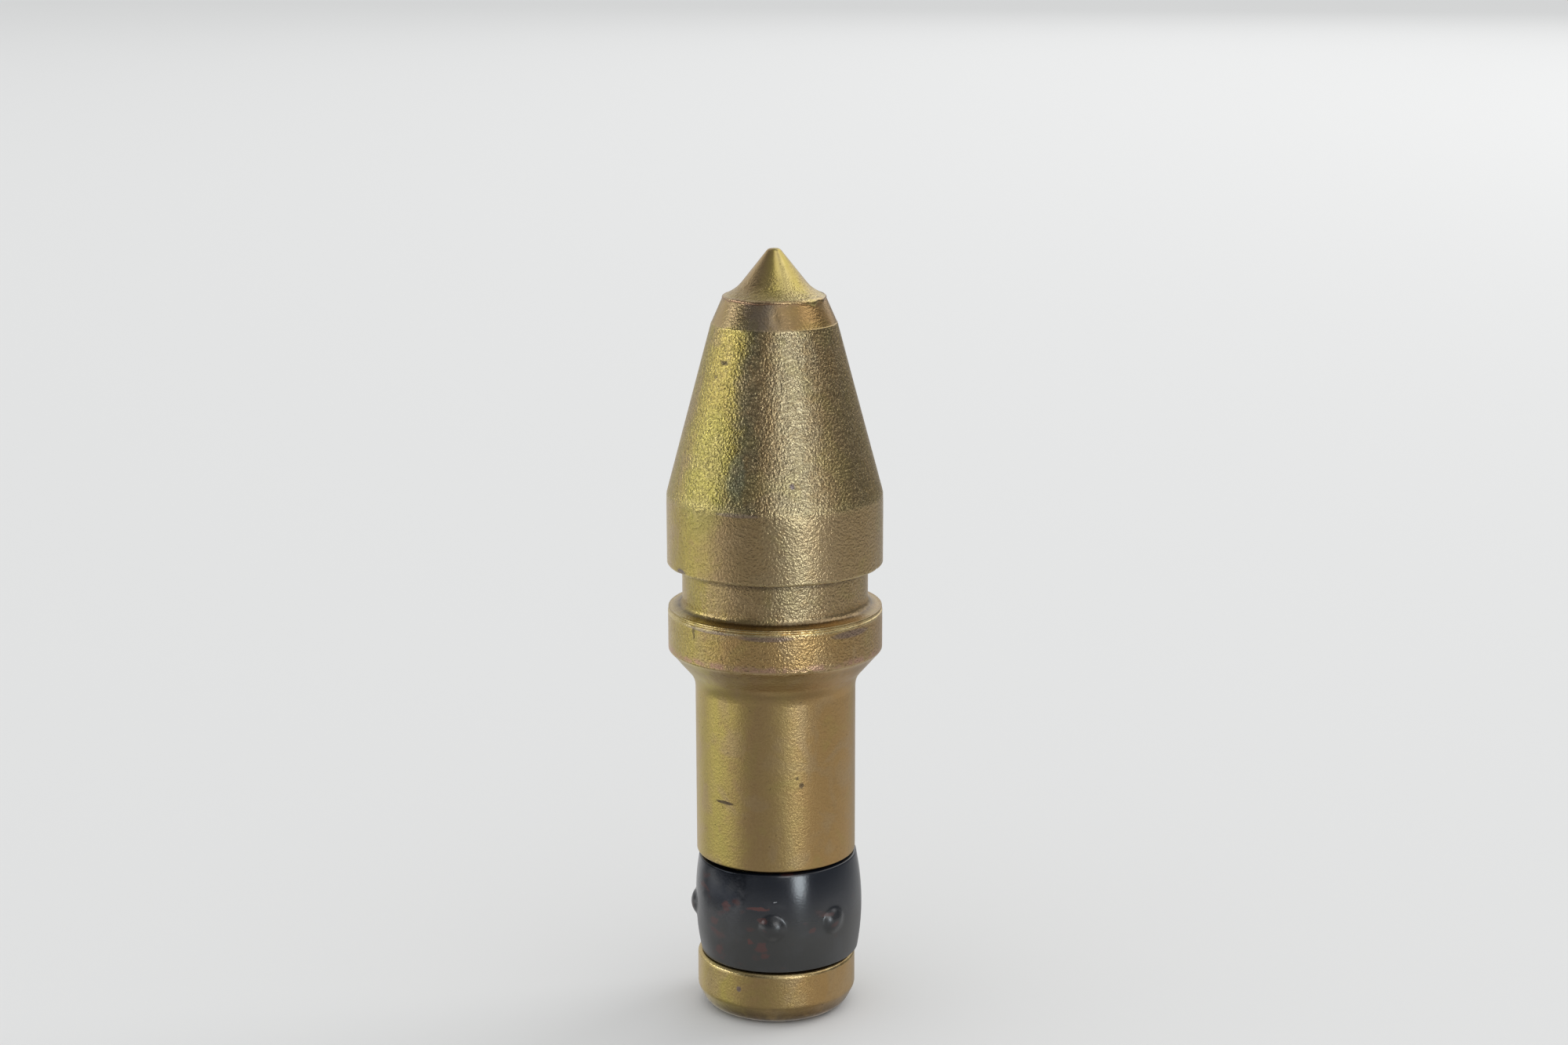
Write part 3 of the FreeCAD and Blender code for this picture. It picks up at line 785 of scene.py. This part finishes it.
# %% Chromate finish
def yellow_chromate(name, tints, marks=()):
    """The finish of a plated piece. Tints are heights in millimetres and the ramp of colours that starts there."""
    material, start = new_finish(name)
    place = start.node("ShaderNodeTexCoord", output="Object")
    x = place.node("ShaderNodeSeparateXYZ", {}, {0: place})
    y = x.other(1)
    z = x.other(2)
    side = x.maths("ARCTAN2", x, y * -1) * (180 / math.pi)
    cloud = place.noise(11 * MM, 3, 0.6, 0.6)
    mottle = place.noise(1.9 * MM, 3, 0.65, 0.5)
    share = side / 360 + 0.5 + (cloud - 0.5) * 0.09 + (mottle - 0.5) * 0.05
    colour = by_side(share, tints[0][1])
    for height, stops in tints[1:]:
        level = z + (mottle - 0.5) * (0.8 * MM)
        colour = level.rise((height - 0.25) * MM, (height + 0.25) * MM).mix(colour, by_side(share, stops))
    blush = place.noise(6.5 * MM, 2, 0.5, 0.8)
    colour = (blush.rise(0.50, 0.68) * 0.5).mix(colour, ROSE)
    colour = (blush.rise(0.46, 0.30) * 0.18).mix(colour, LIME)
    colour = (mottle.rise(0.54, 0.72) * 0.35).mix(colour, TAN)

    coarse = by_height(z, GRAIN)
    grain = (place.noise(0.37 * MM, 1.5, 0.6) - 0.5) * 5.0 + 0.5
    for at, half, radius, strength, tint in marks:
        torn = mark(side + (mottle - 0.5) * 4, z, at, half, radius) * strength
        colour = torn.mix(colour, tint)
    # Painted shade in the grain's hollows and painted glints on its peaks, following the same relief as the bump
    colour = ((0.5 - grain).most(0) * coarse * 0.35).mix(colour, SOOT_AND_SHADE)
    colour = ((grain - 0.5).most(0) * coarse * 0.25).mix(colour, GLINT_AND_WEAR)
    fleck = place.noise(0.7 * MM, 2, 0.6, 0.5).rise(0.70, 0.76) * 0.55
    colour = fleck.mix(colour, SOOT_AND_SHADE)

    patchy = mottle.rise(0.38, 0.58)
    # Painted shade: darker under the head's edge, between the collar's lips, at the neck's foot and under the collar;
    # on the foot's chamfer painted shade and dirt
    colour = (by_height(z, SHADE_AND_DIRT) * (patchy * 0.3 + 0.7)).mix(colour, SOOT_AND_SHADE)
    colour = (by_height(z, ROSY) * patchy).mix(colour, BLUSH)
    # Rubbed edges: partly wear, partly painted highlight on the collar's lips, the head's lower rim and the other rims
    colour = (by_height(z, WEAR_AND_HIGHLIGHT) * (patchy * 0.6 + 0.4)).mix(colour, GLINT_AND_WEAR)

    lumps = place.noise(1.1 * MM, 2, 0.5, 0.5)
    brushed = place.noise(0.8 * MM, 2, 0.6, 0.2, (1, 1, 3.5)) * z.band(109.3 * MM, 113.4 * MM, 0.2 * MM)
    relief = (grain + lumps * coarse * 0.3) * coarse + brushed * 0.35
    bump = start.node("ShaderNodeBump", {}, {"Strength": 1.0, "Distance": 0.038 * MM, "Height": relief})
    roughness = by_height(z, SHINE) - by_height(z, WEAR_AND_HIGHLIGHT) * 0.08 + (mottle - 0.5) * 0.12 + (cloud - 0.5) * 0.10 + fleck * 0.3
    count = surface(start, {"Base Color": colour, "Metallic": 1.0, "Roughness": roughness, "Normal": bump})
    print(name, "has", count, "nodes")
    return material


BODY_TINTS = [(0, SHANK_TINTS), (58.3, COLLAR_TINTS), (65.4, BAND_TINTS), (82.7, CONE_TINTS), (109.2, NOSE_TINTS)]
tooth_body.data.materials.append(
    yellow_chromate("chromate_on_body", BODY_TINTS, MARKS))
hard_tip.data.materials.append(yellow_chromate("chromate_on_tip", [(0, TIP_TINTS)]))
braze.data.materials.append(yellow_chromate("chromate_on_braze", [(0, BRAZE_TINTS)]))

# %% [markdown]
# ## Blackened spring steel
# The sleeve is blackened by heat and oil: a dark blue-grey skin with a half gloss, and a breath of red rust where
# the oil has gone. Its colour is almost black, so nearly all that shows is its shine. The lower half is duller,
# where it has been rubbed. Its colour is painted darker above and lighter below: painted shade on the upper half.

# %% Blackened steel
RUST = (0.105, 0.030, 0.024, 1)
BARE = (0.55, 0.58, 0.60, 1)
# Degrees to the right of the camera side and height; half width and half height in mm; share and colour
SMEARS = [
    ((-12, 19.7), (1.8, 0.35), 0.75, RUST), ((-9, 17.9), (0.9, 0.45), 0.5, RUST), ((-18, 14.3), (0.5, 0.5), 0.7, RUST),
    ((-10, 13.4), (1.0, 0.9), 0.6, RUST), ((-8, 12.0), (0.7, 0.5), 0.5, RUST), ((-37, 19.3), (0.8, 0.9), 0.5, RUST),
    ((-49, 16.3), (0.9, 0.7), 0.45, RUST), ((-45, 11.6), (0.8, 0.9), 0.5, RUST), ((26, 16.0), (0.6, 0.4), 0.5, RUST),
    ((-1, 20.9), (0.13, 0.09), 0.6, BARE),
]


def blackened_steel(name):
    """The finish of the sleeve: a dark oxide, clouded, with faint rust in short smears."""
    material, start = new_finish(name)
    place = start.node("ShaderNodeTexCoord", output="Object")
    x = place.node("ShaderNodeSeparateXYZ", {}, {0: place})
    z = x.other(2)
    side = x.maths("ARCTAN2", x, x.other(1) * -1) * (180 / math.pi)
    cloud = place.noise(6 * MM, 3, 0.6, 0.4)
    mottle = place.noise(0.9 * MM, 2, 0.6, 0.4)
    smear = place.noise(3.2 * MM, 1.5, 0.5, 0.3, (1, 1, 1.7)).rise(0.62, 0.78)
    low = 1 - (z + (cloud - 0.5) * (6 * MM)).rise(14 * MM, 21 * MM)
    # Painted shade: the upper half is painted darker and the lower half lighter, for how the light falls on the barrel
    colour = low.mix((0.008, 0.011, 0.018, 1), (0.032, 0.032, 0.030, 1))
    colour = (cloud.rise(0.5, 0.7) * 0.5).mix(colour, (0.045, 0.047, 0.050, 1))
    colour = (smear * 0.5).mix(colour, RUST)
    for at, half, strength, tint in SMEARS:
        torn = mark(side + (mottle - 0.5) * 9, z + (mottle - 0.5) * (0.6 * MM), at, half, 13.0) * strength
        colour = torn.mix(colour, tint)
    dull = mark(side + (mottle - 0.5) * 20, z, (-47, 23.0), (6.0, 5.0), 13.0)
    grain = place.noise(0.35 * MM, 2, 0.6)
    bump = start.node("ShaderNodeBump", {}, {"Strength": 0.5, "Distance": 0.02 * MM, "Height": grain + cloud})
    roughness = low * 0.16 + 0.13 + cloud * 0.12 + smear * 0.15
    count = surface(start, {
        "Base Color": colour, "Metallic": dull * 0.75, "Roughness": roughness, "IOR": 1.75, "Normal": bump,
    })
    print(name, "has", count, "nodes")
    return material


sleeve.data.materials.append(blackened_steel("blackened_steel"))

# %% [markdown]
# ## Table and light
# The tooth stands on a plain pale table that runs out of the picture on every side. It is lit evenly from all
# round, and one broad panel far off to the right and behind makes the right side a little brighter and lays
# a soft shadow to the left.

# %% Pale table
FLOOR_REACH = 8.0


def pale_table():
    """A large flat square just under the tooth, with a matt finish. The metal doesn't mirror it, because the room
    below has a table of its own in it."""
    level = -0.05 * MM
    corners = np.array([[-1, -1, 0], [1, -1, 0], [1, 1, 0], [-1, 1, 0]]) * FLOOR_REACH
    table = piece_from("pale_table", corners + [0, 0, level], [[0, 1, 2, 3]])
    material, start = new_finish("table_paint")
    surface(start, {"Base Color": (0.765, 0.765, 0.765, 1), "Roughness": 0.7, "Specular IOR Level": 0.0})
    table.data.materials.append(material)
    table.visible_glossy = False
    return table


pale_table()


# %% Side panel
def side_panel(place, size, watts):
    """A soft square light that faces the tooth and that no mirror sees."""
    light = bpy.data.lights.new("side_panel", "AREA")
    light.shape = "SQUARE"
    light.size = size
    light.energy = watts
    lamp = bpy.data.objects.new("side_panel", light)
    towards = Vector((0, 0, 0.05)) - Vector(place)
    lamp.matrix_world = Matrix.Translation(place) @ towards.to_track_quat("-Z", "Y").to_matrix().to_4x4()
    lamp.visible_camera = False
    lamp.visible_glossy = False
    bpy.context.scene.collection.objects.link(lamp)
    print("side panel stands", round(towards.length, 2), "m away")


side_panel((2.2, 1.3, 1.7), 1.6, 22.0)
side_panel((0.9, 3.4, 1.6), 1.4, 8.0)

# %% [markdown]
# ## The room that the metal mirrors
# Plated metal has hardly any colour in the dark: it shows what stands round it. On the real tooth a bright window
# on the left, one behind the camera to the right and the dim room between them draw the light and dark streaks.
# Panels on stands could do it, but soft-edged panels in the world need no stands, cast no shadow and never get
# in the picture. Only mirrored rays see them: the camera sees a plain backdrop, and all else is lit evenly.

# %% Panels of the room
ROOM_BY_ELEVATION = [(-90, 0.50), (-81, 0.52), (-72, 0.30), (-60, 0.26), (-24, 0.35), (-18, 0.37), (-14, 0.40),
                     (-10, 0.33), (-4, 0.13), (12, 0.080), (30, 0.086), (50, 0.18), (75, 0.25), (90, 0.26)]

# Degrees to the right of the camera side, half the width, softness; lowest and highest elevation; brightness
PANELS = [
    (-86, 18, 8, 8, 20.5, 3.6),
    (-84, 25, 14, -15.5, -8.5, 1.45),
    (20, 13, 10, 7, 26, 1.9),
    (58, 16, 14, 4, 28, 0.12),
    (25, 20, 16, -36, -3, 0.05),
    (-166, 54, 14, 4, 30, 0.6),
    (-161, 32, 14, -50, 4, 0.34),
    (100, 44, 20, -36, -15, 0.19),
    (148, 24, 24, 4, 30, 0.22),
    (142, 34, 30, -72, -38, 0.22),
    (-138, 30, 30, -70, -45, 0.10),
    (112, 38, 22, 26, 56, 1.0),
    (34, 38, 24, 27, 56, 0.30),
    (-170, 50, 20, 30, 60, 0.30),
    (40, 26, 34, 58, 88, 0.85),
]
LAMP = (30, -1)
LAMP_COLOUR = (0.86, 0.95, 1.0, 1)
LAMP_GLOW = 6.5


def panel(side, raised, place, half, soft, low, high, glow):
    """A soft-edged panel: full between its two edges, measured round from its middle and up and down."""
    away = side.maths("ABSOLUTE", side.maths("WRAP", side - place, 180, -180))
    return (1 - away.rise(half - soft / 2, half + soft)) * raised.band(low, high, 5) * glow


def mirrored_room(way):
    """The brightness of the room in a direction, with its panels, and the brightness of the one small lamp."""
    x = way.node("ShaderNodeSeparateXYZ", {}, {0: way})
    side = x.maths("ARCTAN2", x, x.other(1) * -1) * (180 / math.pi)
    raised = x.maths("ARCSINE", x.other(2)) * (180 / math.pi)
    room = (raised / 180 + 0.5).ramp([(height / 180 + 0.5, grey(value)) for height, value in ROOM_BY_ELEVATION])
    for place in PANELS:
        room = room + panel(side, raised, *place)
    away = side - LAMP[0]
    above = raised - LAMP[1]
    lamp = (1 - (away * away * 0.3 + above * above * 0.4).rise(1, 6.5 ** 2)) * LAMP_GLOW
    return room, lamp


# %% Studio world
def studio_world():
    """What a mirror sees in each direction, what the camera sees behind the table, and what lights the rest."""
    world = bpy.data.worlds.new("studio")
    world.use_nodes = True
    world.node_tree.nodes.clear()
    start = Wire(world.node_tree)
    room, lamp = mirrored_room(start.node("ShaderNodeTexCoord", output="Generated"))
    light_path = start.node("ShaderNodeLightPath")
    walls = start.node("ShaderNodeBackground", {}, {"Color": (1, 1, 1, 1), "Strength": room})
    spot = start.node("ShaderNodeBackground", {}, {"Color": LAMP_COLOUR, "Strength": lamp})
    mirrored = start.node("ShaderNodeAddShader", {}, {0: walls, 1: spot})
    even = start.node("ShaderNodeBackground", {}, {"Color": (0.99, 1.0, 1.0, 1), "Strength": 0.86})
    backdrop = start.node("ShaderNodeBackground", {}, {"Color": (0.81, 0.83, 0.84, 1), "Strength": 1.0})
    light = start.node("ShaderNodeMixShader", {}, {0: light_path.other("Is Glossy Ray"), 1: even, 2: mirrored})
    light = start.node("ShaderNodeMixShader", {}, {0: light_path.other("Is Camera Ray"), 1: light, 2: backdrop})
    start.node("ShaderNodeOutputWorld", {}, {"Surface": light})
    bpy.context.scene.world = world
    print("the studio world has", len(world.node_tree.nodes), "nodes and", len(PANELS), "panels")


studio_world()
bpy.context.scene.view_settings.view_transform = "Standard"

# %% [markdown]
# ## Camera
# The camera stands where the photograph was taken from: about 40 cm in front and a little above, looking down by
# almost 13 degrees. Its place was worked out from the ellipses of the tooth's edges.

# %% Camera
CAMERA_PLACE = (1.4 * MM, -407.7 * MM, 170.65 * MM)
CAMERA_DOWN = math.radians(12.8)
CAMERA_ROLL = math.radians(-0.15)
CAMERA_LENS = 62.3


def set_camera():
    """A camera of that lens, tipped down from level and rolled a trace."""
    data = bpy.data.cameras.new("camera")
    data.lens = CAMERA_LENS
    data.sensor_width = 36.0
    data.clip_start = 0.01
    data.clip_end = 100.0
    camera = bpy.data.objects.new("camera", data)
    tipped = Matrix.Rotation(math.pi / 2 - CAMERA_DOWN, 4, "X") @ Matrix.Rotation(CAMERA_ROLL, 4, "Z")
    camera.matrix_world = Matrix.Translation(CAMERA_PLACE) @ tipped
    bpy.context.scene.collection.objects.link(camera)
    bpy.context.scene.camera = camera
    print("camera looks down by", round(math.degrees(CAMERA_DOWN), 1), "degrees")


set_camera()
